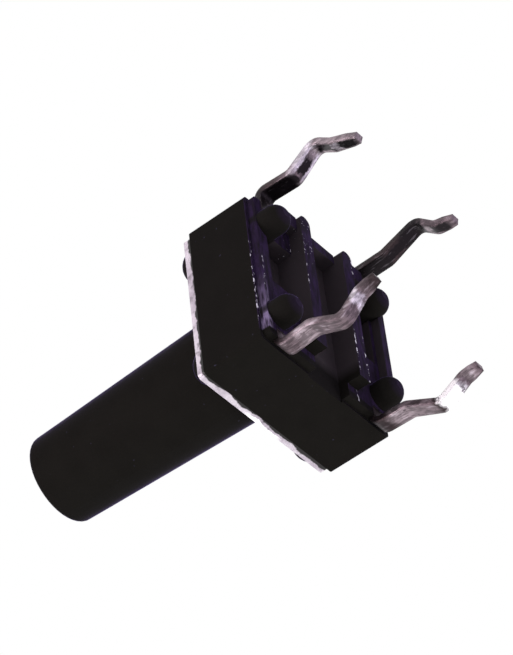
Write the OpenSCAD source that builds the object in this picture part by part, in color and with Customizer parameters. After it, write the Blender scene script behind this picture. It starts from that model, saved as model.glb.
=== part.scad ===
// Through-hole tactile push-button with four kinked pins and a long round stem.
// +Z runs up the stem. The origin is the centre of the footprint, on the face of the circuit board that the
// four bosses stand on, so the pins reach below Z = 0. The pin rows stand at both X ends. Millimetres.

/* [Body] */
// Size of the body along X, from one row of pins to the other
body_x = 6; // [5.6:0.1:7]
// Size of the body along Y
body_y = 6; // [5.8:0.1:7]
// Height of the cover's top face above the board
body_h = 3.5; // [3.3:0.1:5]
// Radius of the body's upright corners
corner_r = 0.15; // [0.05:0.05:0.4]
// Height of the side walls' lower edge above the board
side_z = 1.05; // [0.95:0.05:1.2]
// How far the foot of the base stands in from the side walls
foot_step = 0.1; // [0.05:0.05:0.2]
// Height of the foot's underside above the board
foot_z = 0.78; // [0.6:0.02:0.84]

/* [Underside] */
// Width of the foot's rail along each Y side
rail_w = 0.45; // [0.4:0.05:0.6]
// Width of the low web between the two bosses of the -Y side
web_w = 0.3; // [0.2:0.05:0.4]
// Height of that web's underside above the board
web_z = 0.5; // [0.4:0.05:0.7]
// Radius of the four bosses that stand on the board
boss_r = 0.48; // [0.3:0.02:0.5]
// Radius of the flat on each boss's round tip
boss_flat_r = 0.16; // [0.1:0.02:0.24]
// Distance of the bosses' middles from the body's X sides
boss_in_x = 1.1; // [1:0.05:1.3]
// Distance of the bosses' middles from the body's Y sides
boss_in_y = 0.6; // [0.6:0.05:0.8]
// Height of the two ribs' undersides above the board
rib_z = 0.3; // [0.15:0.05:0.5]
// Width of a rib
rib_w = 0.48; // [0.3:0.02:0.6]
// Distance of a rib's middle from the body's middle
rib_y = 1.02; // [0.8:0.02:1.1]
// How far the ribs stop short of the +X side
rib_setback = 0.6; // [0.4:0.05:1]
// Height of the channel's roof between the ribs
channel_z = 1.1; // [0.9:0.05:1.2]
// Thickness of the lip that closes the channel's -X end
lip_t = 0.35; // [0.2:0.05:0.5]
// Height of the lip's underside above the board
lip_z = 0.62; // [0.5:0.02:0.7]
// Length of the two pads beside the ribs at the -X end
pad_l = 0.55; // [0.3:0.05:0.6]
// Height of those pads' undersides above the board
pad_z = 0.45; // [0.35:0.05:0.7]
// Distance of the moulding windows' +X ends from the middle
window_end = 0.45; // [0.3:0.05:0.9]
// Distance of the moulding windows' -X ends from the middle
window_start = 1.5; // [1.2:0.1:1.7]

/* [Contacts] */
// Height of the contact cavity's floor above the board
floor_z = 1.55; // [1.45:0.05:1.7]
// Thickness of the terminals' sheet metal
sheet_t = 0.22; // [0.18:0.02:0.3]
// Width of a pin, and of the strip inside the base that joins two pins
pin_w = 0.6; // [0.5:0.05:0.8]
// Width of the contact arms and of the centre contact's tongue
arm_w = 0.6; // [0.4:0.05:0.7]
// Distance of the outer contact arms from the middle
arm_x = 1.6; // [1.4:0.05:1.7]
// Radius of the centre contact's raised button
button_r = 0.45; // [0.3:0.05:0.6]
// Height of that button above the cavity's floor
button_h = 0.05; // [0.02:0.01:0.08]
// Radius of the snap dome's rim
dome_r = 1.95; // [1.8:0.05:2]
// Height of the snap dome
dome_h = 0.38; // [0.34:0.01:0.42]
// Thickness of the snap dome
dome_t = 0.08; // [0.06:0.01:0.1]

/* [Pins] */
// Distance between the two rows of pins, along X, where they leave the base
row_pitch = 6.3; // [6.3:0.1:7.6]
// Distance between the two pins of a row, along Y
pin_pitch = 4.5; // [4.3:0.1:4.8]
// Height of the pins' middle where they leave the base, above the board
root_z = 0.86; // [0.8:0.02:0.9]
// How far inside the foot's end the strips have come down to that height
root_in = 0.35; // [0.3:0.05:0.45]
// Slope of the strips between the contacts and the pins' roots
jog_angle = 45; // [35:1:60]
// Depth below the board where the kinks begin
kink_start = 0.3; // [0.1:0.02:0.4]
// Angle of a kink's outward slope to the upright
out_angle = 28; // [20:1:34]
// Length of that slope
out_l = 1.28; // [1.1:0.02:1.4]
// Angle of the slope back in
back_angle = 37; // [30:1:42]
// Length of that slope
back_l = 0.9; // [0.8:0.02:1.1]
// Angle of the pin's last stretch to the upright, inwards
end_angle = 14; // [8:1:20]
// Length of that stretch
end_l = 0.7; // [0.7:0.05:1]
// Inside radius of the bends beside the base
bend_r = 0.15; // [0.1:0.05:0.2]
// Inside radius of the kink's bends
kink_r = 0.25; // [0.15:0.05:0.3]
// Width to which a pin has narrowed where its tip begins
neck_w = 0.43; // [0.35:0.01:0.6]
// Width of a pin's sheared end
tip_w = 0.3; // [0.2:0.02:0.35]
// Height of the tip, over which a pin narrows to its end
tip_taper = 0.3; // [0.2:0.05:0.45]

/* [Plunger] */
// Height of the stem's tip above the board
stem_h = 11.3; // [5:0.05:13]
// Radius of the stem where it leaves the cover
stem_r = 1.74; // [1.6:0.01:1.78]
// Radius of the stem at its tip
stem_tip_r = 1.5; // [1.3:0.01:1.55]
// Rounding of the tip's edge
tip_round = 0.2; // [0.1:0.05:0.4]
// How far the plunger's flange stands out from the stem
flange_out = 0.32; // [0.25:0.01:0.36]
// Length of the nub that presses the dome
nub_l = 0.28; // [0.25:0.01:0.35]
// Radius of that nub
nub_r = 0.6; // [0.4:0.05:0.8]
// Gap between the plunger and what guides it
guide_gap = 0.1; // [0.05:0.01:0.12]
// Upright play of the resting plunger, above its flange and below its nub
rest_play = 0.01; // [0.005:0.005:0.02]

/* [Cover] */
// Thickness of the cover plate
cover_t = 0.3; // [0.2:0.05:0.4]
// How far the cover's edges stand in from the body's sides
cover_in = 0.1; // [0:0.02:0.16]
// Distance of the rivet posts' middles from the body's X sides
post_in_x = 0.9; // [0.8:0.05:1.1]
// Distance of the rivet posts' middles from the body's Y sides
post_in_y = 0.7; // [0.7:0.05:0.9]
// Radius of the four posts that rivet the cover down
post_r = 0.4; // [0.3:0.05:0.45]
// Gap round each post in its hole
post_gap = 0.03; // [0.02:0.01:0.06]
// Radius of the posts' melted heads
head_r = 0.58; // [0.5:0.02:0.6]
// Height of those heads above the cover
head_h = 0.44; // [0.2:0.02:0.5]

/* [Hidden] */
$fn = 48;

cut = 1; // length by which a cutter runs past a face
overlap = 0.1; // depth by which the two halves of a strip run into each other
bend_facets = 6; // flats in each bend
base_top = body_h - cover_t;
pin_y = pin_pitch / 2;
pin_y_inner = pin_y - pin_w / 2;
cavity_r = stem_r + flange_out + guide_gap;
boss_x = body_x / 2 - boss_in_x;
boss_y = body_y / 2 - boss_in_y;
post_x = body_x / 2 - post_in_x;
post_y = body_y / 2 - post_in_y;
foot_x = body_x / 2 - foot_step;
foot_y = body_y / 2 - foot_step;
rib_outer = rib_y + rib_w / 2;
rib_inner = rib_y - rib_w / 2;
pad_w = pin_y_inner - rib_outer;
plate_z = floor_z - sheet_t;
plate_mid_z = floor_z - sheet_t / 2;
root_start_x = foot_x - root_in;
dome_sphere_r = (pow(dome_r, 2) + pow(dome_h, 2)) / (2 * dome_h);

// How each pin was bent by hand, against the nominal pin: how far out its root stands, then what is added
// to the angle and to the length of its root, its outward slope, its inward slope and its end
function pin_bend(side_x, side_y) =
    side_x < 0
    ? (side_y > 0
        ? [0.22, [-3, 0.05], [9, -0.08], [1, -0.16], [9, 0.3]]
        : [0.02, [1, 0.08], [-6, 0.12], [7, -0.04], [-2, 0]])
    : (side_y > 0
        ? [0, [-7, 0], [-2, -0.12], [6, 0.04], [5, -0.05]]
        : [0, [2, 0], [0, 0.04], [-6, 0.1], [-4, -0.15]]);

// ---- shared shapes ----

module rounded_rect(x, y, r) {
    union() {
        square([x, y - 2 * r], center = true);
        square([x - 2 * r, y], center = true);
        for (sx = [-1, 1], sy = [-1, 1]) translate([sx * (x / 2 - r), sy * (y / 2 - r)]) circle(r);
    }
}

module at_corners(x, y) {
    for (sx = [-1, 1], sy = [-1, 1]) translate([sx * x, sy * y, 0]) children();
}

// Block between two corner points
module span(low, high) {
    translate(low) cube(high - low);
}

// Round cap of the given base radius and height, standing on Z = 0
module cap(r, h) {
    ball = (r * r + h * h) / (2 * h);
    rotate_extrude() intersection() {
        translate([0, h - ball]) circle(ball, $fn = 96);
        square([r, h]);
    }
}

// ---- sheet-metal strips, drawn side-on from their middle along +X ----
// A strip is a list of corners: [distance from the corner before, turn in degrees, inside radius of the bend].

// Radius of a corner's bend at the middle of the sheet
function mid_r(corner) = corner[2] + sheet_t / 2;

// What a corner's bend takes from the straight stretch on each side of it
function setback(corner) = mid_r(corner) * tan(abs(corner[1]) / 2);

// Stations [x, z, heading] along the strip's middle, with the bends rounded
function stations(corners, i = 0, at = [0, 0, 0]) =
    let (
        turn = corners[i][1],
        side = sign(turn),
        r = mid_r(corners[i]),
        run = corners[i][0] - setback(corners[i]) - (i == 0 ? 0 : setback(corners[i - 1])),
        before = [at[0] + run * cos(at[2]), at[1] + run * sin(at[2]), at[2]],
        centre = [before[0] - side * r * sin(at[2]), before[1] + side * r * cos(at[2])],
        arc = [for (j = [1:bend_facets]) let (heading = at[2] + turn * j / bend_facets)
            [centre[0] + side * r * sin(heading), centre[1] - side * r * cos(heading), heading]]
    )
    i == len(corners) - 1 ? [at, before]
    : concat([at, before], [for (j = [0:bend_facets - 2]) arc[j]], stations(corners, i + 1, arc[bend_facets - 1]));

// Point at the given distance to the left of a station
function beside(station, d) = [station[0] - d * sin(station[2]), station[1] + d * cos(station[2])];

// Outline of a strip's thickness
function strip_outline(path) = concat(
    [for (i = [0:len(path) - 1]) beside(path[i], sheet_t / 2)],
    [for (i = [len(path) - 1:-1:0]) beside(path[i], -sheet_t / 2)]);

// Corners of half a strip: down inside the base, out under the side wall, down, and through the kink
function half_strip_corners(bent) =
    let (
        drop = plate_mid_z - root_z,
        jog_run = drop / tan(jog_angle),
        root_x = row_pitch / 2 + bent[0],
        root_slope = bent[1][0],
        out_slope = out_angle + bent[2][0],
        back_slope = back_angle + bent[3][0],
        end_slope = end_angle + bent[4][0]
    ) [
        [root_start_x - jog_run, -jog_angle, bend_r],
        [drop / sin(jog_angle), jog_angle, bend_r],
        [root_x - root_start_x, -90 + root_slope, bend_r],
        [(root_z + kink_start + bent[1][1]) / cos(root_slope), out_slope - root_slope, kink_r],
        [out_l + bent[2][1], -back_slope - out_slope, kink_r],
        [back_l + bent[3][1], back_slope - end_slope, kink_r],
        [end_l + bent[4][1], 0, 0]
    ];

// Cutter that narrows both edges of a pin, from its kink to the given height of its end
module pin_taper(kink_z, end_z) {
    for (side = [-1, 1]) rotate([90, 0, 90]) linear_extrude(body_x) polygon([
        [side * pin_w, kink_z], [side * pin_w / 2, kink_z], [side * neck_w / 2, end_z + tip_taper],
        [side * tip_w / 2, end_z], [side * tip_w / 2, end_z - cut], [side * pin_w, end_z - cut]]);
}

// Half of a strip and its pin
module half_strip(side_x, side_y) {
    path = stations(half_strip_corners(pin_bend(side_x, side_y)));
    mirror([side_x < 0 ? 1 : 0, 0, 0]) translate([0, side_y * pin_y, plate_mid_z]) difference() {
        rotate([90, 0, 0]) linear_extrude(pin_w, center = true) union() {
            polygon(strip_outline(path));
            translate([-overlap, -sheet_t / 2]) square([2 * overlap, sheet_t]);
        }
        pin_taper(-kink_start - plate_mid_z, path[len(path) - 1][1]);
    }
}

// Both halves of one strip
module pin_strip(side_y) {
    for (side_x = [-1, 1]) half_strip(side_x, side_y);
}

// ---- the base moulding ----

// Walls, foot, rivet posts, ribs, webs and bosses, before anything is hollowed out
module base_mass() {
    translate([0, 0, side_z]) linear_extrude(base_top - side_z) rounded_rect(body_x, body_y, corner_r);
    translate([0, 0, foot_z]) linear_extrude(side_z - foot_z)
        rounded_rect(2 * foot_x, 2 * foot_y, corner_r);
    at_corners(post_x, post_y) {
        translate([0, 0, base_top - cut]) cylinder(r = post_r, h = cover_t + cut);
        translate([0, 0, body_h]) cap(head_r, head_h);
    }
}

// Recesses of the underside: a window each side of the ribs, and the channel between them
module underside_recesses() {
    for (side = [-1, 1]) {
        window = [rib_outer, foot_y - rail_w];
        low_y = side > 0 ? window[0] : -window[1];
        high_y = side > 0 ? window[1] : -window[0];
        span([-window_start, low_y, -cut], [window_end, high_y, plate_z]);
    }
    span([-foot_x + lip_t, -rib_inner, -cut], [body_x, rib_inner, channel_z]);
}

// Ribs along X, from a round end at the -X side to a little short of the +X side
module ribs() {
    round_x = -body_x / 2 + rib_w / 2;
    for (side = [-1, 1]) translate([round_x, side * rib_y, rib_z]) linear_extrude(plate_z - rib_z) union() {
        circle(rib_w / 2);
        translate([0, -rib_w / 2]) square([body_x / 2 - rib_setback - round_x, rib_w]);
    }
}

// Low web that joins the two bosses of the -Y side
module boss_web() {
    span([-boss_x, -foot_y, web_z], [boss_x, -foot_y + web_w, side_z]);
}

// Lip that closes the channel's -X end, and the pads that stand beside the ribs there
module end_lands() {
    span([-foot_x, -rib_inner, lip_z], [-foot_x + lip_t, rib_inner, side_z]);
    for (side = [-1, 1]) translate([-foot_x, side * (rib_outer + pin_y_inner) / 2, pad_z])
        span([0, -pad_w / 2, 0], [pad_l, pad_w / 2, side_z - pad_z]);
}

// Round-tipped boss from the board up to the contact plates
module boss() {
    tip_z = sqrt(boss_r * boss_r - boss_flat_r * boss_flat_r);
    rotate_extrude() intersection() {
        union() {
            translate([0, tip_z]) circle(boss_r);
            translate([0, tip_z]) square([boss_r, side_z - tip_z]);
        }
        square([boss_r, side_z]);
    }
}

module base() {
    color([0.12, 0.11, 0.13]) difference() {
        union() {
            difference() {
                base_mass();
                underside_recesses();
            }
            ribs();
            boss_web();
            end_lands();
            at_corners(boss_x, boss_y) boss();
        }
        translate([0, 0, floor_z]) cylinder(r = cavity_r, h = base_top - floor_z + cut);
        strips_and_arms();
    }
}

// ---- the contacts ----

// Contact plate of the centre contact: a tongue from its strip to the raised button
module centre_tongue() {
    span([-arm_w / 2, 0, plate_z], [arm_w / 2, pin_y, floor_z]);
    translate([0, 0, plate_z]) cylinder(r = button_r, h = sheet_t + button_h);
}

// Two arms that carry the dome's rim on each side of the tongue
module outer_arms() {
    for (side = [-1, 1]) translate([side * arm_x, 0, 0])
        span([-arm_w / 2, -pin_y, plate_z], [arm_w / 2, arm_w, floor_z]);
}

module terminal_centre() {
    color([0.72, 0.66, 0.64]) union() {
        pin_strip(1);
        centre_tongue();
    }
}

module terminal_outer() {
    color([0.72, 0.66, 0.64]) union() {
        pin_strip(-1);
        outer_arms();
    }
}

// What the moulding leaves free for the metal
module strips_and_arms() {
    pin_strip(1);
    pin_strip(-1);
    centre_tongue();
    outer_arms();
}

// Sprung disc whose rim stands on the outer arms
module contact_dome() {
    color([0.75, 0.75, 0.72]) translate([0, 0, floor_z]) rotate_extrude() intersection() {
        difference() {
            translate([0, dome_h - dome_sphere_r]) circle(dome_sphere_r, $fn = 360);
            translate([0, dome_h - dome_sphere_r]) circle(dome_sphere_r - dome_t, $fn = 360);
        }
        square([dome_r, dome_h]);
    }
}

// ---- the plunger ----

module plunger() {
    flange_r = stem_r + flange_out;
    flange_top = base_top - rest_play;
    nub_z = floor_z + dome_h + rest_play;
    round_z = stem_h - tip_round;
    color([0.12, 0.11, 0.13]) rotate_extrude($fn = 72) {
        polygon([
            [0, nub_z], [nub_r, nub_z], [nub_r, nub_z + nub_l], [flange_r, nub_z + nub_l],
            [flange_r, flange_top], [stem_r, flange_top], [stem_r, body_h],
            [stem_tip_r, round_z], [stem_tip_r - tip_round, stem_h], [0, stem_h]]);
        intersection() {
            translate([stem_tip_r - tip_round, round_z]) circle(tip_round);
            translate([stem_tip_r - tip_round, round_z]) square(tip_round);
        }
    }
}

// ---- the cover ----

module cover_plate() {
    color([0.8, 0.79, 0.77]) difference() {
        translate([0, 0, base_top]) linear_extrude(cover_t)
            rounded_rect(body_x - 2 * cover_in, body_y - 2 * cover_in, corner_r);
        translate([0, 0, base_top - cut]) {
            cylinder(r = stem_r + guide_gap, h = cover_t + 2 * cut);
            at_corners(post_x, post_y) cylinder(r = post_r + post_gap, h = cover_t + 2 * cut);
        }
    }
}

base();
cover_plate();
plunger();
contact_dome();
terminal_centre();
terminal_outer();
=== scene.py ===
# Looks of a through-hole tactile switch with a long stem: finishes, wear, stage, lights and camera.
# Metres, in the model's own frame: Z = 0 is the circuit board's face and +Z runs up the stem.
import math

import bpy
from mathutils import Matrix, Vector


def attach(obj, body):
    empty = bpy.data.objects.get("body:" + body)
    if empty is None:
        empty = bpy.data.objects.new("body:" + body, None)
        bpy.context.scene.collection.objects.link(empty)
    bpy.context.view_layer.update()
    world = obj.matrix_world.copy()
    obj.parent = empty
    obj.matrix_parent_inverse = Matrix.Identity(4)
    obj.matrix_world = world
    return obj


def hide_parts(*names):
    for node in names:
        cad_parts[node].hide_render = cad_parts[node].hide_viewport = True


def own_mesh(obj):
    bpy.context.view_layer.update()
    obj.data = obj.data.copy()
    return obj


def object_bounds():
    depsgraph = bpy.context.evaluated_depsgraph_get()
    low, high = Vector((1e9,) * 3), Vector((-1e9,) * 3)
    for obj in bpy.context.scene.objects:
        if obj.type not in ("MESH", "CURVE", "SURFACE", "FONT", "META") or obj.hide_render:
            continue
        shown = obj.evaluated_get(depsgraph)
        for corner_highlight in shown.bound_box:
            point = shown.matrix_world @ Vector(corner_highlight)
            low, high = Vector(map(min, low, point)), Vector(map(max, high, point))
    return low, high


MM = 0.001

# ---- camera ----
IMAGE_W = 513
IMAGE_H = 655
CAMERA_AZIMUTH = 39.7  # degrees from +X towards +Y, object to camera
CAMERA_ELEVATION = -23.6  # degrees above the board's plane: the camera looks up from below
CAMERA_ROLL = -122.9  # degrees that the camera is turned about its own view
CAMERA_NEAREST = 1 * MM
CAMERA_DISTANCE = 98.6 * MM
CAMERA_TARGET = (-0.52 * MM, 0.46 * MM, 2.91 * MM)
FOCAL_PX = 3280.0  # focal length in pixels of the photograph
SENSOR = 36.0  # mm

# ---- stage ----
WHITE = (1.0, 1.0, 1.0)
FLOOR_SIZE = 0.6
FLOOR_COLOUR = (0.92, 0.91, 0.93)
FLOOR_ROUGHNESS = 0.9
FLOOR_SPECULAR = 0.2
GLOW = 0.5  # strength of the far floor's glow
GLOW_START = 30 * MM  # distance from the object at which it starts
GLOW_FULL = 130 * MM
UPPER_WORLD = (1.0, 0.97, 1.0)  # what shiny faces reflect from above the board's plane
LOWER_WORLD = (0.95, 0.88, 1.05)  # and from below it
HORIZON = (-0.4, -0.15)  # heights between which the one turns into the other
WORLD_FILL = (0.5, 0.5, 0.5)
SIDE_TINT = (1.0, 0.88, 0.93)
# name, place in mm, width in mm, watts, colour, whether it shows in reflections
LAMPS = (
    ("key", (85, 20, 60), 60, 0.03, WHITE, True),
    ("side", (15, 90, 50), 60, 0.06, SIDE_TINT, True),
    ("top", (-25, -30, 110), 90, 0.06, WHITE, False),
    ("under", (68, -58, -44), 36, 0.05, WHITE, False),
)

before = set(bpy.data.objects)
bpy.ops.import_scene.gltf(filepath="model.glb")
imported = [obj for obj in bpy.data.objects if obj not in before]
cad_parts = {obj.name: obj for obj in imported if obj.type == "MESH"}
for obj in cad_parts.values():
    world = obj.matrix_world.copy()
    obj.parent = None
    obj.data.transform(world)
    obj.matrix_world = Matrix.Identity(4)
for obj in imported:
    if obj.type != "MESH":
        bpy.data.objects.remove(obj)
cad_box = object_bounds()


# ---- node helpers ----


def new_material(name):
    mat = bpy.data.materials.new(name)
    mat.use_nodes = True
    tree = mat.node_tree
    tree.nodes.clear()
    out = tree.nodes.new("ShaderNodeOutputMaterial")
    shader = tree.nodes.new("ShaderNodeBsdfPrincipled")
    tree.links.new(shader.outputs["BSDF"], out.inputs["Surface"])
    return mat, tree, shader


def position(tree, scale=(1.0, 1.0, 1.0)):
    """Object coordinates, in metres, times scale: a low number draws the pattern out that way."""
    coord = tree.nodes.new("ShaderNodeTexCoord")
    mapping = tree.nodes.new("ShaderNodeMapping")
    mapping.inputs["Scale"].default_value = scale
    tree.links.new(coord.outputs["Object"], mapping.inputs["Vector"])
    return mapping.outputs["Vector"]


def noise(tree, vector, size_mm, detail):
    """Noise whose blotches are about size_mm across."""
    tex = tree.nodes.new("ShaderNodeTexNoise")
    tex.inputs["Scale"].default_value = 1.0 / (size_mm * MM)
    tex.inputs["Detail"].default_value = detail
    tex.inputs["Roughness"].default_value = NOISE_ROUGHNESS
    tree.links.new(vector, tex.inputs["Vector"])
    return tex.outputs["Fac"]


def spread(tree, value, low, high, to_low=0.0, to_high=1.0):
    """value from low..high to to_low..to_high, clamped."""
    node = tree.nodes.new("ShaderNodeMapRange")
    node.inputs["From Min"].default_value = low
    node.inputs["From Max"].default_value = high
    node.inputs["To Min"].default_value = to_low
    node.inputs["To Max"].default_value = to_high
    tree.links.new(value, node.inputs["Value"])
    return node.outputs["Result"]


def mixed(tree, factor, a, b):
    """Colour a to colour b by factor. Each of the three is a plain value or a socket."""
    node = tree.nodes.new("ShaderNodeMix")
    node.data_type = "RGBA"
    if isinstance(factor, float):
        node.inputs["Factor"].default_value = factor
    else:
        tree.links.new(factor, node.inputs["Factor"])
    for socket, value in (("A", a), ("B", b)):
        target = [s for s in node.inputs if s.name == socket and s.type == "RGBA"][0]
        if isinstance(value, tuple):
            target.default_value = (*value, 1.0)
        else:
            tree.links.new(value, target)
    return [s for s in node.outputs if s.type == "RGBA"][0]


def math_node(tree, kind, *values):
    """One Math node. Each value is a number or a socket."""
    node = tree.nodes.new("ShaderNodeMath")
    node.operation = kind
    for i, value in enumerate(values):
        if isinstance(value, (int, float)):
            node.inputs[i].default_value = value
        else:
            tree.links.new(value, node.inputs[i])
    return node.outputs[0]


def product(tree, *factors):
    total = factors[0]
    for factor in factors[1:]:
        total = math_node(tree, "MULTIPLY", total, factor)
    return total


def near(tree, value, centre_mm, half_mm, soft_mm):
    """1 where value is within half_mm of centre_mm, fading over soft_mm."""
    off = math_node(tree, "ABSOLUTE", math_node(tree, "SUBTRACT", value, centre_mm * MM))
    return spread(tree, off, half_mm * MM, (half_mm + soft_mm) * MM, 1.0, 0.0)


def between(tree, value, edge_mm):
    """0 to 1 as value goes from the first to the second of two places in mm."""
    return spread(tree, value, edge_mm[0] * MM, edge_mm[1] * MM)


def bands(tree, height, stops):
    """Colour by height: stops are (mm above the board, colour), from the top down."""
    top, bottom = stops[0][0], stops[-1][0]
    ramp = tree.nodes.new("ShaderNodeValToRGB")
    ramp.color_ramp.interpolation = "EASE"
    tree.links.new(spread(tree, height, top * MM, bottom * MM), ramp.inputs["Fac"])
    points = ramp.color_ramp.elements
    for i, (mm, colour) in enumerate(stops):
        place = (top - mm) / (top - bottom)
        if i == 0:
            point = points[0]
        elif i == len(stops) - 1:
            point = points[len(points) - 1]
        else:
            point = points.new(place)
        point.position = place
        point.color = (*colour, 1.0)
    return ramp.outputs["Color"]


def bump(tree, shader, height, depth_mm):
    """Relief depth_mm deep for heights from 0 to 1. Returns the node, which can take a normal."""
    node = tree.nodes.new("ShaderNodeBump")
    node.inputs["Distance"].default_value = depth_mm * MM
    node.inputs["Strength"].default_value = 1.0
    tree.links.new(height, node.inputs["Height"])
    tree.links.new(node.outputs["Normal"], shader.inputs["Normal"])
    return node


def coordinate(tree, kind, axis):
    coord = tree.nodes.new("ShaderNodeTexCoord")
    split = tree.nodes.new("ShaderNodeSeparateXYZ")
    tree.links.new(coord.outputs[kind], split.inputs["Vector"])
    return split.outputs[axis]


def place_axis(tree, axis):
    """The shaded point's X, Y or Z in the model's frame, in metres."""
    return coordinate(tree, "Object", axis)


def facing(tree, axis):
    """How far the surface faces along +X, +Y or +Z, from -1 to 1."""
    return coordinate(tree, "Normal", axis)


# ---- colours ----

BLACK = (0.0076, 0.007, 0.0062)
BLACK_PATCH = tuple(1.15 * channel for channel in BLACK)
RECESS_BLACK_PAINTED_FILL = (0.035, 0.029, 0.034)  # lighter black inside the recesses, a painted fill light against the shade there, where little light gets
BLACK_BOSS = (0.0098, 0.009, 0.0082)
DUST = (0.06, 0.055, 0.1)
PURPLE_PAINTED_SHEEN = (0.023, 0.0135, 0.04)  # painted reflection: a purple sheen on the lowest faces
# painted highlight at the +X end of the +Y rail
PALE_PAINTED_HIGHLIGHT = (0.3, 0.24, 0.41)
GLINT_AND_MOTE = (0.62, 0.6, 0.72)  # painted glints dotted along moulded edges, and pale motes in the window
# The pins, from black stains and painted shade to tin blown white as a painted highlight
STAIN_AND_SHADE = (0.012, 0.009, 0.011)
UMBER = (0.06, 0.041, 0.043)
DULL = (0.215, 0.163, 0.182)
TIN = (0.42, 0.345, 0.375)
PALE_HIGHLIGHT = (0.86, 0.79, 0.87)
BLOWN_HIGHLIGHT = (0.94, 0.92, 0.94)
PIT = (0.05, 0.038, 0.043)
# The cover, and its cut edge
STEEL = ((0.78, 0.74, 0.79), (0.6, 0.56, 0.61))
CUT_STEEL = ((0.42, 0.37, 0.43), (0.62, 0.57, 0.63))
SMUDGE = (0.14, 0.12, 0.14)

# ---- patterns ----

NOISE_ROUGHNESS = 0.55
# Size in mm and detail of each pattern
GRAIN = (0.06, 3.0)
MOULDING_CLOUD = (0.9, 5.0)
SPECKS = (0.16, 2.0)
STREAKS = (0.13, 3.0)
PATCHES = (0.5, 4.0)
DOTS = (0.09, 2.0)
PIN_CLOUD = (0.35, 5.0)
PIN_PITS = (0.13, 3.0)
PIN_STREAKS = (0.09, 3.0)
PIN_STRAY = (0.3, 3.0)
PIN_DENTS = (0.16, 4.0)
ROLLED_LINES = (0.04, 3.0)
STEEL_CLOUD = (0.8, 4.0)
EDGE_STRAY = (0.7, 3.0)
EDGE_SMUDGES = (0.3, 4.0)
# Stretches, as position() takes them
STREAKS_SCALE = (0.2, 1.0, 1.0)
GLINT_DOTS_SCALE = (0.6, 1.0, 1.0)
PIN_STREAKS_SCALE = (0.5, 1.0, 0.18)
ROLLED_LINES_SCALE = (0.05, 1.0, 1.0)
MIDDLE = 0.5  # noise's average level
# Levels of noise between which a pattern comes in
WIDE = (0.3, 0.7)
CLOUDY = (0.35, 0.65)
MOTTLED = (0.38, 0.62)
CLOSE = (0.4, 0.6)
DUST_LEVELS = (0.74, 0.78)
GLINT_DOT_LEVELS = (0.56, 0.64)
MOTE_LEVELS = (0.69, 0.73)
GLEAM_LEVELS = (0.6, 0.68)
PIT_LEVELS = (0.64, 0.7)
SMUDGE_LEVELS = (0.52, 0.66)

# ---- black mouldings ----

MOULDING_SPECULAR = 0.005
MOULDING_SHEEN = 0.25
MOULDING_SHEEN_ROUGHNESS = 0.22
MOULDING_SHEEN_TINT = (0.45, 0.3, 1.0, 1.0)
MOULDING_ROUGHNESS = (0.42, 0.6)
MOULDING_RELIEF = 0.004  # mm
# Which way a face looks, from -1 to 1, where a finish comes in
FACING_DOWN = (-0.6, -0.95)
FACING_TIP = (-0.6, -1.0)
FACING_SILL = (0.6, 0.9)
# Strongest share of a colour
DUST_SHARE = 0.5
TIP_SHARE = 0.5
MOTE_SHARE = 0.6
# Streaks and patches of the painted purple sheen: levels of noise, and the share that each leaves
STREAK_LEVELS = (0.35, 0.62)
STREAK_SHARES = (0.3, 1.15)
PATCH_LEVELS = (0.3, 0.65)
PATCH_SHARES = (0.45, 1.0)
CORNER_LEVELS = (0.3, 0.5)
# Places on the base, in mm from its middle and above the board
LOWEST_TOP = 1.06  # height that the lowest faces reach
LOWEST_SOFT = 0.03
RECESS_OUTER_X = (-2.95, -2.9)  # the recesses' lighter black, a painted fill light, starts just inside the -X side
RECESS_INNER_X = (2.2, 1.75)  # and fades out before the +X side
RECESS_HALF_Y = 2.8
RECESS_SOFT_Y = 0.06
RECESS_TOP = (2.9, 2.8)
SILL_Y = (2.8, 2.85)  # the +Y rail's own side carries the painted sheen too
SHEEN_END_X = (2.68, 2.62)
CORNER_X = (0.4, 2.2)  # the painted highlight on the +Y rail grows towards +X
CORNER_Y = (2.82, 0.05, 0.06)  # middle, half width and soft edge, as near() takes them
BOSS_X = 1.9
BOSS_Y = 2.4
BOSS_R = 0.48
BOSS_SOFT = 0.05
WINDOW_X = (-2.0, 0.9, 0.2)  # the same for the window that has motes
WINDOW_Y = (0.85, 0.65, 0.1)
# Lines of painted glints along X: y, first x, last x
GLINT_LINES = (
    (2.99, -0.9, 2.3),
    (2.84, -0.2, 0.9),
    (1.26, -2.0, 0.2),
    (-0.8, 0.6, 2.5),
    (-1.24, -2.8, -2.2),
    (-1.24, 0.6, 2.7),
)
GLINT_HALF = 0.02
GLINT_SOFT = 0.03
GLINT_END = 0.2


def off_bosses(tree, x, y):
    """0 on the four round bosses and 1 away from them."""
    boss_x = math_node(tree, "SUBTRACT", math_node(tree, "ABSOLUTE", x), BOSS_X * MM)
    boss_y = math_node(tree, "SUBTRACT", math_node(tree, "ABSOLUTE", y), BOSS_Y * MM)
    squares = math_node(tree, "ADD", product(tree, boss_x, boss_x), product(tree, boss_y, boss_y))
    away = math_node(tree, "SQRT", squares)
    return spread(tree, away, BOSS_R * MM, (BOSS_R + BOSS_SOFT) * MM)


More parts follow.
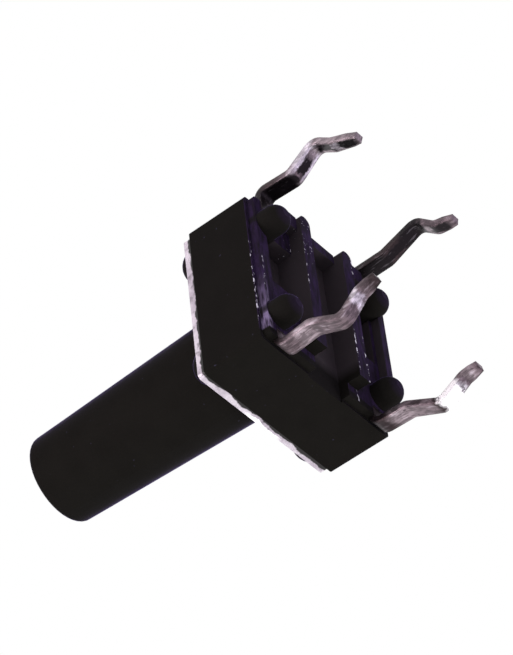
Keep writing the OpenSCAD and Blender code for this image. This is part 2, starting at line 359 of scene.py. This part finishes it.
def underside(tree, pos, colour):
    """The base's recesses with a painted lighter fill, the lowest faces' painted purple sheen and
    highlight, bosses, painted glints along edges and pale motes, over the plain moulding's colour.
    """
    x, y, z = (place_axis(tree, axis) for axis in "XYZ")
    down = spread(tree, facing(tree, "Z"), *FACING_DOWN)
    # Inside the recesses the black is painted lighter, as fill light against their shade
    inside = product(
        tree,
        between(tree, x, RECESS_OUTER_X),
        between(tree, x, RECESS_INNER_X),
        near(tree, y, 0.0, RECESS_HALF_Y, RECESS_SOFT_Y),
        between(tree, z, RECESS_TOP),
    )
    colour = mixed(tree, inside, colour, RECESS_BLACK_PAINTED_FILL)

    low = between(tree, z, (LOWEST_TOP + LOWEST_SOFT, LOWEST_TOP))
    sill = product(tree, spread(tree, facing(tree, "Y"), *FACING_SILL), between(tree, y, SILL_Y))
    off_boss = off_bosses(tree, x, y)
    streaks = noise(tree, position(tree, STREAKS_SCALE), *STREAKS)
    patches = noise(tree, pos, *PATCHES)
    patchy = product(
        tree,
        spread(tree, streaks, *STREAK_LEVELS, *STREAK_SHARES),
        spread(tree, patches, *PATCH_LEVELS, *PATCH_SHARES),
    )
    lit = math_node(tree, "MAXIMUM", down, sill)
    colour = mixed(tree, product(tree, lit, low), colour, BLACK)
    # Painted reflection: purple sheen on the lowest faces that look down or along +Y
    sheen_mask = product(tree, lit, low, off_boss, patchy, between(tree, x, SHEEN_END_X))
    corner_highlight = product(
        tree,
        between(tree, x, CORNER_X),
        near(tree, y, *CORNER_Y),
        spread(tree, streaks, *CORNER_LEVELS),
    )
    colour = mixed(tree, sheen_mask, colour, mixed(tree, corner_highlight, PURPLE_PAINTED_SHEEN, PALE_PAINTED_HIGHLIGHT))

    boss = math_node(tree, "SUBTRACT", 1.0, off_boss)
    colour = mixed(tree, product(tree, boss, low), colour, BLACK_BOSS)
    # Painted reflection: purple sheen on the bosses' downward rims
    boss_tip_sheen = product(tree, spread(tree, facing(tree, "Z"), *FACING_TIP), boss, low)
    colour = mixed(tree, product(tree, boss_tip_sheen, TIP_SHARE), colour, PURPLE_PAINTED_SHEEN)

    window = product(tree, near(tree, x, *WINDOW_X), near(tree, y, *WINDOW_Y))
    motes = spread(tree, noise(tree, pos, *DOTS), *MOTE_LEVELS)
    colour = mixed(tree, product(tree, window, motes, inside, MOTE_SHARE), colour, GLINT_AND_MOTE)

    # Painted highlights: glints dotted along moulded edges of the lit lowest faces
    glint_dots = noise(tree, position(tree, GLINT_DOTS_SCALE), *DOTS)
    glint_dots = spread(tree, glint_dots, *GLINT_DOT_LEVELS)
    for line_y, first, last in GLINT_LINES:
        run = product(
            tree,
            near(tree, y, line_y, GLINT_HALF, GLINT_SOFT),
            near(tree, x, (first + last) / 2, (last - first) / 2, GLINT_END),
        )
        colour = mixed(tree, product(tree, run, glint_dots, lit, low, off_boss), colour, GLINT_AND_MOTE)
    return colour


def black_moulding(name, is_base):
    """Black plastic with mould grain. The base has its underside as well."""
    mat, tree, shader = new_material(name)
    pos = position(tree)
    grain = noise(tree, pos, *GRAIN)
    cloud = noise(tree, pos, *MOULDING_CLOUD)
    colour = mixed(tree, spread(tree, cloud, *CLOUDY), BLACK, BLACK_PATCH)
    dust = spread(tree, noise(tree, pos, *SPECKS), *DUST_LEVELS)
    colour = mixed(tree, product(tree, dust, DUST_SHARE), colour, DUST)
    if is_base:
        colour = underside(tree, pos, colour)
    tree.links.new(colour, shader.inputs["Base Color"])
    tree.links.new(spread(tree, cloud, *WIDE, *MOULDING_ROUGHNESS), shader.inputs["Roughness"])
    shader.inputs["Specular IOR Level"].default_value = MOULDING_SPECULAR
    shader.inputs["Sheen Weight"].default_value = MOULDING_SHEEN
    shader.inputs["Sheen Roughness"].default_value = MOULDING_SHEEN_ROUGHNESS
    shader.inputs["Sheen Tint"].default_value = MOULDING_SHEEN_TINT
    bump(tree, shader, grain, MOULDING_RELIEF)
    return mat


# ---- tinned pins ----

PIN_ROW_Y = 2.25  # mm from the middle to each row of pins
PIN_EDGE = (0.14, 0.19)  # mm from a pin's middle at which its edge starts
PIN_EDGE_TOP = (-0.3, -0.55)  # the -X pins' edges differ from their faces below this height, mm
PIN_WAVER = 0.55  # mm that a change of colour strays up or down
PIN_SPLIT_X = (-0.5, 0.5)
PIN_INNER = (0.1, 0.4)  # how far an inner face looks along +X
PIN_BLOWN = (0.8, 0.92)  # colours this pale are lit to white, and less like metal
PIN_ROUNDING = 0.11  # mm
PIN_RELIEF = 0.008  # mm
PIN_ROUGHNESS = (0.3, 0.45)
PIN_METALLIC = (0.85, 0.15)  # sound and blown
SIDEWAYS_WAVER = 0.5  # share of the waver that goes across the pin
# Mottle: how much of it streaks and clouds leave, and the levels at which it turns to dirt
STREAK_MOTTLE = (0.4, 1.1)
CLOUD_MOTTLE = (0.5, 1.1)
DIRT_LEVELS = (0.85, 0.35)
DIRT_SHARES = (0.85, 0.0)  # on sound and on blown tin
DIRT_STAIN = 0.7
GLEAM_BASE = (0.02, 0.3)  # colours between which the gleams grow
GLEAM_SHARES = (0.08, 0.35)
PIT_SHARE = 0.75


def tinned_brass(name, row_y, near_pin, far_face, far_edge):
    """Tin over brass, for the two pins at y = row_y: colours by height on the +X pin, and on the
    face and edges of the -X pin's inner side. The pale and bright bands at the bends are painted
    highlights, and the -X pin's inner face is painted nearly black as shade and dark reflection."""
    mat, tree, shader = new_material(name)
    pos = position(tree)
    cloud = noise(tree, pos, *PIN_CLOUD)
    fine = noise(tree, pos, *PIN_PITS)
    streaks = noise(tree, position(tree, PIN_STREAKS_SCALE), *PIN_STREAKS)

    stray = math_node(tree, "SUBTRACT", noise(tree, pos, *PIN_STRAY), MIDDLE)
    waver = product(tree, stray, PIN_WAVER * MM)
    height = math_node(tree, "ADD", place_axis(tree, "Z"), waver)
    wavy_y = math_node(tree, "ADD", place_axis(tree, "Y"), product(tree, waver, SIDEWAYS_WAVER))
    across = math_node(tree, "SUBTRACT", wavy_y, row_y * MM)
    rim = product(
        tree,
        between(tree, math_node(tree, "ABSOLUTE", across), PIN_EDGE),
        between(tree, height, PIN_EDGE_TOP),
    )
    inner = spread(tree, facing(tree, "X"), *PIN_INNER)
    side = math_node(tree, "MAXIMUM", rim, math_node(tree, "SUBTRACT", 1.0, inner))
    far = mixed(tree, side, bands(tree, height, far_face), bands(tree, height, far_edge))
    at_near_pin = between(tree, place_axis(tree, "X"), PIN_SPLIT_X)
    row = mixed(tree, at_near_pin, far, bands(tree, height, near_pin))

    blown = spread(tree, row, *PIN_BLOWN)
    mottle = product(
        tree,
        spread(tree, streaks, *MOTTLED, *STREAK_MOTTLE),
        spread(tree, cloud, *MOTTLED, *CLOUD_MOTTLE),
    )
    dirt = product(
        tree,
        spread(tree, mottle, *DIRT_LEVELS),
        spread(tree, blown, 0.0, 1.0, *DIRT_SHARES),
    )
    worn = mixed(tree, dirt, row, mixed(tree, DIRT_STAIN, row, STAIN_AND_SHADE))
    gleam = product(
        tree,
        spread(tree, streaks, *GLEAM_LEVELS),
        spread(tree, row, *GLEAM_BASE, *GLEAM_SHARES),
    )
    worn = mixed(tree, gleam, worn, PALE_HIGHLIGHT)
    pits = product(tree, spread(tree, fine, *PIT_LEVELS), PIT_SHARE)
    tree.links.new(mixed(tree, pits, worn, PIT), shader.inputs["Base Color"])
    tree.links.new(spread(tree, blown, 0.0, 1.0, *PIN_METALLIC), shader.inputs["Metallic"])
    tree.links.new(spread(tree, cloud, *WIDE, *PIN_ROUGHNESS), shader.inputs["Roughness"])
    relief = bump(tree, shader, noise(tree, pos, *PIN_DENTS), PIN_RELIEF)
    round_off = tree.nodes.new("ShaderNodeBevel")
    round_off.inputs["Radius"].default_value = PIN_ROUNDING * MM
    tree.links.new(round_off.outputs["Normal"], relief.inputs["Normal"])
    return mat


# ---- stamped cover and dome ----

CUT_FACING = (0.6, 0.4)  # a face is cut, not rolled, where it looks less than this up or down
EDGE_WAVER = 0.4  # mm that the edge's lights and shades stray up or down
EDGE_BLOWN = (3.4, 3.43)  # mm above the board: the edge's top is lit to white
EDGE_BLOWN_HALF_Y = 0.6
EDGE_BLOWN_SOFT_Y = 0.3
EDGE_SHADED = (3.34, 3.31)  # and its foot is painted black as shade
STEEL_METALLIC = (0.75, 0.25)  # rolled and cut
STEEL_ROUGHNESS = (0.28, 0.45)
STEEL_RELIEF = 0.003  # mm
SMUDGE_SHARE = 0.7


def stamped_steel(name):
    """Bright stamped sheet with fine rolling lines along X, and a smudged cut edge, its top painted
    white as a highlight and its foot painted black as shade along ragged lines.
    """
    mat, tree, shader = new_material(name)
    pos = position(tree)
    lines = noise(tree, position(tree, ROLLED_LINES_SCALE), *ROLLED_LINES)
    cloud = noise(tree, pos, *STEEL_CLOUD)
    steel = mixed(tree, spread(tree, cloud, *CLOUDY), *STEEL)
    flat = math_node(tree, "ABSOLUTE", facing(tree, "Z"))
    cut = spread(tree, flat, *CUT_FACING)

    stray = math_node(tree, "SUBTRACT", noise(tree, pos, *EDGE_STRAY), MIDDLE)
    height = math_node(tree, "ADD", place_axis(tree, "Z"), product(tree, stray, EDGE_WAVER * MM))
    blown = product(
        tree,
        between(tree, height, EDGE_BLOWN),
        near(tree, place_axis(tree, "Y"), 0.0, EDGE_BLOWN_HALF_Y, EDGE_BLOWN_SOFT_Y),
    )
    smudge = spread(tree, noise(tree, pos, *EDGE_SMUDGES), *SMUDGE_LEVELS)
    smudge = product(tree, smudge, SMUDGE_SHARE)
    edge = mixed(tree, spread(tree, cloud, *CLOSE), *CUT_STEEL)
    edge = mixed(tree, smudge, edge, SMUDGE)
    # Painted highlight along the edge's top, then painted shade at its foot
    edge = mixed(tree, blown, edge, WHITE)
    edge = mixed(tree, between(tree, height, EDGE_SHADED), edge, BLACK)
    tree.links.new(mixed(tree, cut, steel, edge), shader.inputs["Base Color"])
    tree.links.new(spread(tree, cut, 0.0, 1.0, *STEEL_METALLIC), shader.inputs["Metallic"])
    tree.links.new(spread(tree, lines, *WIDE, *STEEL_ROUGHNESS), shader.inputs["Roughness"])
    bump(tree, shader, lines, STEEL_RELIEF)
    return mat


# ---- dressing the parts ----


def dress(node, mat):
    """Gives a CAD node its material."""
    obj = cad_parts[node]
    obj.data.materials.clear()
    obj.data.materials.append(mat)


base_mat = black_moulding("base_moulding", True)
stem_mat = black_moulding("stem_moulding", False)
steel_mat = stamped_steel("stamped_steel")
# Each pin's colours are (mm above the board, colour), from the top down. The pale and bright bands
# are painted highlights at the bends, and the black bands on the -X pins' inner faces painted shade
# and dark reflection.
centre_mat = tinned_brass(
    "tinned_brass_centre",
    PIN_ROW_Y,
    near_pin=(
        (1.0, UMBER), (0.4, DULL), (0.0, TIN), (-0.6, DULL), (-1.2, DULL), (-1.5, DULL),
        (-1.75, DULL), (-1.9, PALE_HIGHLIGHT), (-2.15, DULL), (-2.6, UMBER), (-3.2, UMBER),
    ),
    # the -X pin's inner face: painted shade and dark reflection, with painted highlights
    far_face=(
        (1.0, STAIN_AND_SHADE), (-0.36, STAIN_AND_SHADE), (-0.48, DULL), (-0.58, STAIN_AND_SHADE), (-1.0, STAIN_AND_SHADE), (-1.14, TIN),
        (-1.26, TIN), (-1.34, STAIN_AND_SHADE), (-1.84, STAIN_AND_SHADE), (-1.96, PALE_HIGHLIGHT), (-2.08, PALE_HIGHLIGHT),
        (-2.18, STAIN_AND_SHADE), (-2.58, STAIN_AND_SHADE), (-2.74, TIN), (-3.2, DULL),
    ),
    far_edge=(
        (1.0, STAIN_AND_SHADE), (0.3, UMBER), (-0.2, DULL), (-0.7, PALE_HIGHLIGHT), (-1.2, PALE_HIGHLIGHT), (-1.4, TIN),
        (-3.2, TIN),
    ),
)
outer_mat = tinned_brass(
    "tinned_brass_outer",
    -PIN_ROW_Y,
    near_pin=(
        (1.0, STAIN_AND_SHADE), (0.5, UMBER), (0.1, TIN), (-0.7, DULL), (-1.1, DULL), (-1.35, UMBER),
        # painted highlight, blown to white, on the bend's back slope
        (-1.5, BLOWN_HIGHLIGHT), (-2.05, BLOWN_HIGHLIGHT), (-2.25, DULL), (-2.6, TIN), (-2.8, DULL), (-3.0, UMBER),
        (-3.2, STAIN_AND_SHADE),
    ),
    far_face=(
        (1.0, STAIN_AND_SHADE), (-1.0, STAIN_AND_SHADE), (-1.9, STAIN_AND_SHADE), (-2.04, TIN), (-2.2, STAIN_AND_SHADE), (-2.7, STAIN_AND_SHADE),
        (-2.9, DULL), (-3.2, DULL),
    ),
    far_edge=(
        (1.0, STAIN_AND_SHADE), (-0.8, UMBER), (-1.2, STAIN_AND_SHADE), (-1.8, STAIN_AND_SHADE), (-2.0, DULL), (-3.2, DULL),
    ),
)

dress("base", base_mat)
dress("plunger", stem_mat)
dress("cover_plate", steel_mat)
dress("contact_dome", steel_mat)
dress("terminal_centre", centre_mat)
dress("terminal_outer", outer_mat)


def snap_dome():
    """The sprung dome as its own mesh, attached to the housing in place of the CAD part; the real
    dome flattens under the stem as it is pressed, which this copy does not do.
    """
    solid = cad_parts["contact_dome"]
    dome = bpy.data.objects.new("snap_dome", solid.data.copy())
    bpy.context.scene.collection.objects.link(dome)
    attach(dome, "housing")
    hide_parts("contact_dome")
    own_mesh(dome)


snap_dome()


# ---- stage, world, lights ----


def make_floor():
    """Pale paper under the pins' tips."""
    low = cad_box[0][2]
    half = FLOOR_SIZE / 2
    mesh = bpy.data.meshes.new("floor")
    corners = [(x * half, y * half, low) for x, y in ((-1, -1), (1, -1), (1, 1), (-1, 1))]
    mesh.from_pydata(corners, [], [(0, 1, 2, 3)])
    floor = bpy.data.objects.new("floor", mesh)
    bpy.context.scene.collection.objects.link(floor)
    mat, tree, shader = new_material("floor_paper")
    shader.inputs["Base Color"].default_value = (*FLOOR_COLOUR, 1.0)
    shader.inputs["Roughness"].default_value = FLOOR_ROUGHNESS
    shader.inputs["Specular IOR Level"].default_value = FLOOR_SPECULAR
    # A glow that grows with distance, for the camera only, keeps the far floor as white as the near
    coord = tree.nodes.new("ShaderNodeTexCoord")
    reach = tree.nodes.new("ShaderNodeVectorMath")
    reach.operation = "LENGTH"
    tree.links.new(coord.outputs["Object"], reach.inputs[0])
    shader.inputs["Emission Color"].default_value = (*WHITE, 1.0)
    glow = spread(tree, reach.outputs["Value"], GLOW_START, GLOW_FULL, 0.0, GLOW)
    path = tree.nodes.new("ShaderNodeLightPath")
    seen = product(tree, glow, path.outputs["Is Camera Ray"])
    tree.links.new(seen, shader.inputs["Emission Strength"])
    # Seen from beneath, the floor lets the camera's view through
    geometry = tree.nodes.new("ShaderNodeNewGeometry")
    clear = tree.nodes.new("ShaderNodeBsdfTransparent")
    mix = tree.nodes.new("ShaderNodeMixShader")
    out = [n for n in tree.nodes if n.bl_idname == "ShaderNodeOutputMaterial"][0]
    tree.links.new(geometry.outputs["Backfacing"], mix.inputs["Fac"])
    tree.links.new(shader.outputs["BSDF"], mix.inputs[1])
    tree.links.new(clear.outputs["BSDF"], mix.inputs[2])
    tree.links.new(mix.outputs["Shader"], out.inputs["Surface"])
    floor.data.materials.append(mat)
    floor.visible_shadow = False
    floor.visible_glossy = False


def make_world():
    """White to the camera, all but white in reflections, and soft fill elsewhere."""
    world = bpy.data.worlds.new("studio")
    world.use_nodes = True
    bpy.context.scene.world = world
    tree = world.node_tree
    tree.nodes.clear()
    out = tree.nodes.new("ShaderNodeOutputWorld")
    path = tree.nodes.new("ShaderNodeLightPath")
    back = tree.nodes.new("ShaderNodeBackground")
    coord = tree.nodes.new("ShaderNodeTexCoord")
    split = tree.nodes.new("ShaderNodeSeparateXYZ")
    tree.links.new(coord.outputs["Generated"], split.inputs["Vector"])
    room = mixed(tree, spread(tree, split.outputs["Z"], *HORIZON), LOWER_WORLD, UPPER_WORLD)
    reflected = mixed(tree, path.outputs["Is Glossy Ray"], WORLD_FILL, room)
    camera_ray, through_ray = path.outputs["Is Camera Ray"], path.outputs["Is Transmission Ray"]
    seen = math_node(tree, "MAXIMUM", camera_ray, through_ray)
    tree.links.new(mixed(tree, seen, reflected, WHITE), back.inputs["Color"])
    tree.links.new(back.outputs["Background"], out.inputs["Surface"])


def area_light(name, place_mm, size_mm, power, colour, glossy):
    """Soft round lamp at place_mm that faces the object."""
    data = bpy.data.lights.new(name, "AREA")
    data.shape = "DISK"
    data.size = size_mm * MM
    data.energy = power
    data.color = colour
    lamp = bpy.data.objects.new(name, data)
    place = Vector(place_mm) * MM
    lamp.location = place
    aim = Vector(CAMERA_TARGET) - place
    lamp.rotation_euler = aim.to_track_quat("-Z", "Y").to_euler()
    lamp.visible_glossy = glossy
    bpy.context.scene.collection.objects.link(lamp)


def make_camera():
    """The photograph's own view, fitted to the corners of the body."""
    azimuth = math.radians(CAMERA_AZIMUTH)
    elevation = math.radians(CAMERA_ELEVATION)
    towards = Vector((
        math.cos(elevation) * math.cos(azimuth),
        math.cos(elevation) * math.sin(azimuth),
        math.sin(elevation),
    ))
    data = bpy.data.cameras.new("camera")
    data.sensor_fit = "AUTO"
    data.sensor_width = SENSOR
    data.lens = SENSOR * FOCAL_PX / max(IMAGE_W, IMAGE_H)
    data.clip_start = CAMERA_NEAREST
    camera = bpy.data.objects.new("camera", data)
    look = towards.to_track_quat("Z", "Y").to_matrix().to_4x4()
    roll = Matrix.Rotation(math.radians(CAMERA_ROLL), 4, "Z")
    place = Matrix.Translation(Vector(CAMERA_TARGET) + towards * CAMERA_DISTANCE)
    camera.matrix_world = place @ look @ roll
    bpy.context.scene.collection.objects.link(camera)
    bpy.context.scene.camera = camera


make_floor()
make_world()
for lamp_row in LAMPS:
    area_light(*lamp_row)
make_camera()
bpy.context.scene.view_settings.view_transform = "Standard"
